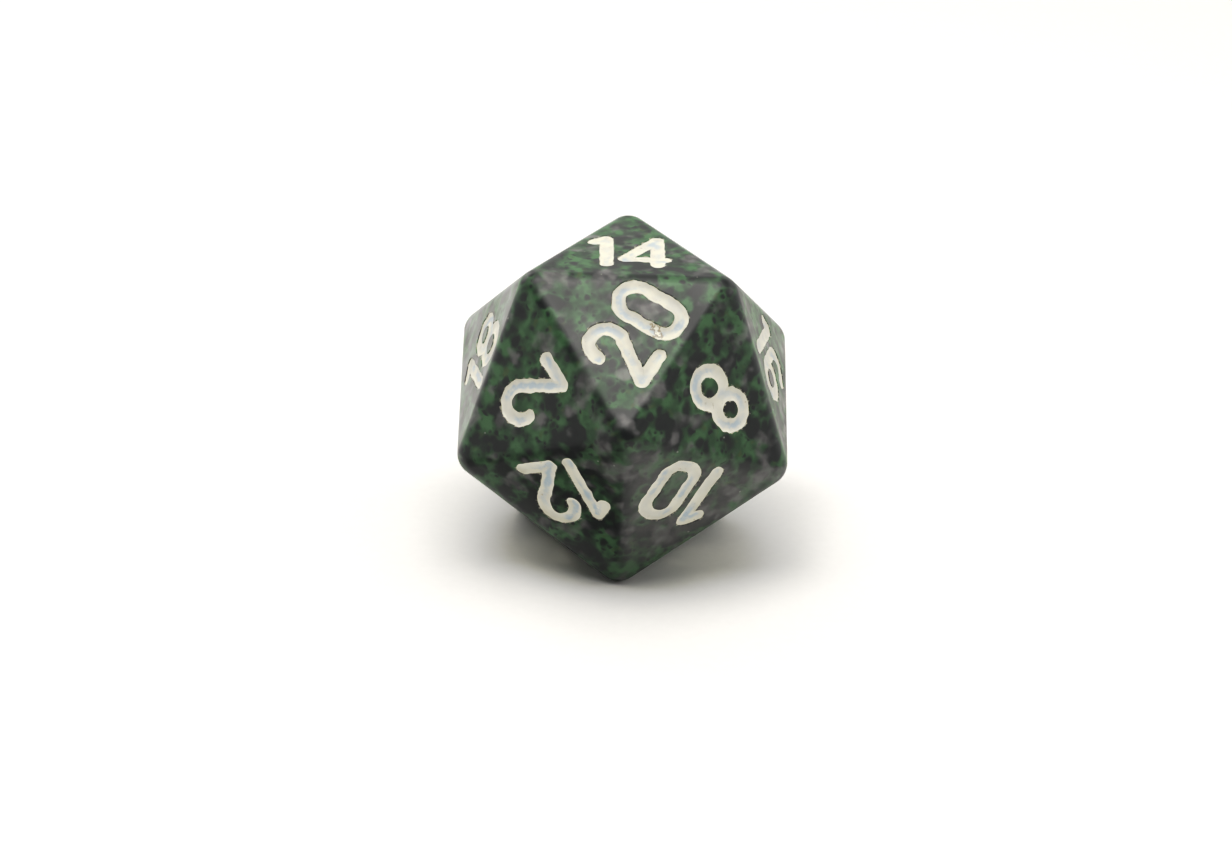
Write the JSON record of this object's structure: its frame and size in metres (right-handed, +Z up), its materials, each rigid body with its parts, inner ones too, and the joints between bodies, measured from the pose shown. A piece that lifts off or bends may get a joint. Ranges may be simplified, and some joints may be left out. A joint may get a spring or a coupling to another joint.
{
  "type": "polyhedral die",
  "caption": "Gaming die in the form of a regular icosahedron with worn edges and painted engraved numbers; rolled to give a random number.",
  "frame": {"origin": "middle of the face the die rests on, numbered 7", "axes": "+Z up, square to the resting face and out of the face numbered 14; X along the edge between the 14 and 20 faces; -Y towards the 20 face"},
  "size_m": [0.0212, 0.0242, 0.02],
  "materials": {
    "speckled_resin": "near-black plastic speckled with dark green and grey, satin gloss from tumbling",
    "number_paint": "cream-white acrylic paint, thin enough to look bluish in the middle of the strokes"
  },
  "bodies": {
    "root": {"die_body": "speckled_resin", "number_paint_1": "number_paint", "number_paint_2": "number_paint", "number_paint_3": "number_paint", "number_paint_4": "number_paint", "number_paint_5": "number_paint", "number_paint_6": "number_paint", "number_paint_7": "number_paint", "number_paint_8": "number_paint", "number_paint_9": "number_paint", "number_paint_10": "number_paint", "number_paint_11": "number_paint", "number_paint_12": "number_paint", "number_paint_13": "number_paint", "number_paint_14": "number_paint", "number_paint_15": "number_paint", "number_paint_16": "number_paint", "number_paint_17": "number_paint", "number_paint_18": "number_paint", "number_paint_19": "number_paint", "number_paint_20": "number_paint"}
  },
  "joints": []
}
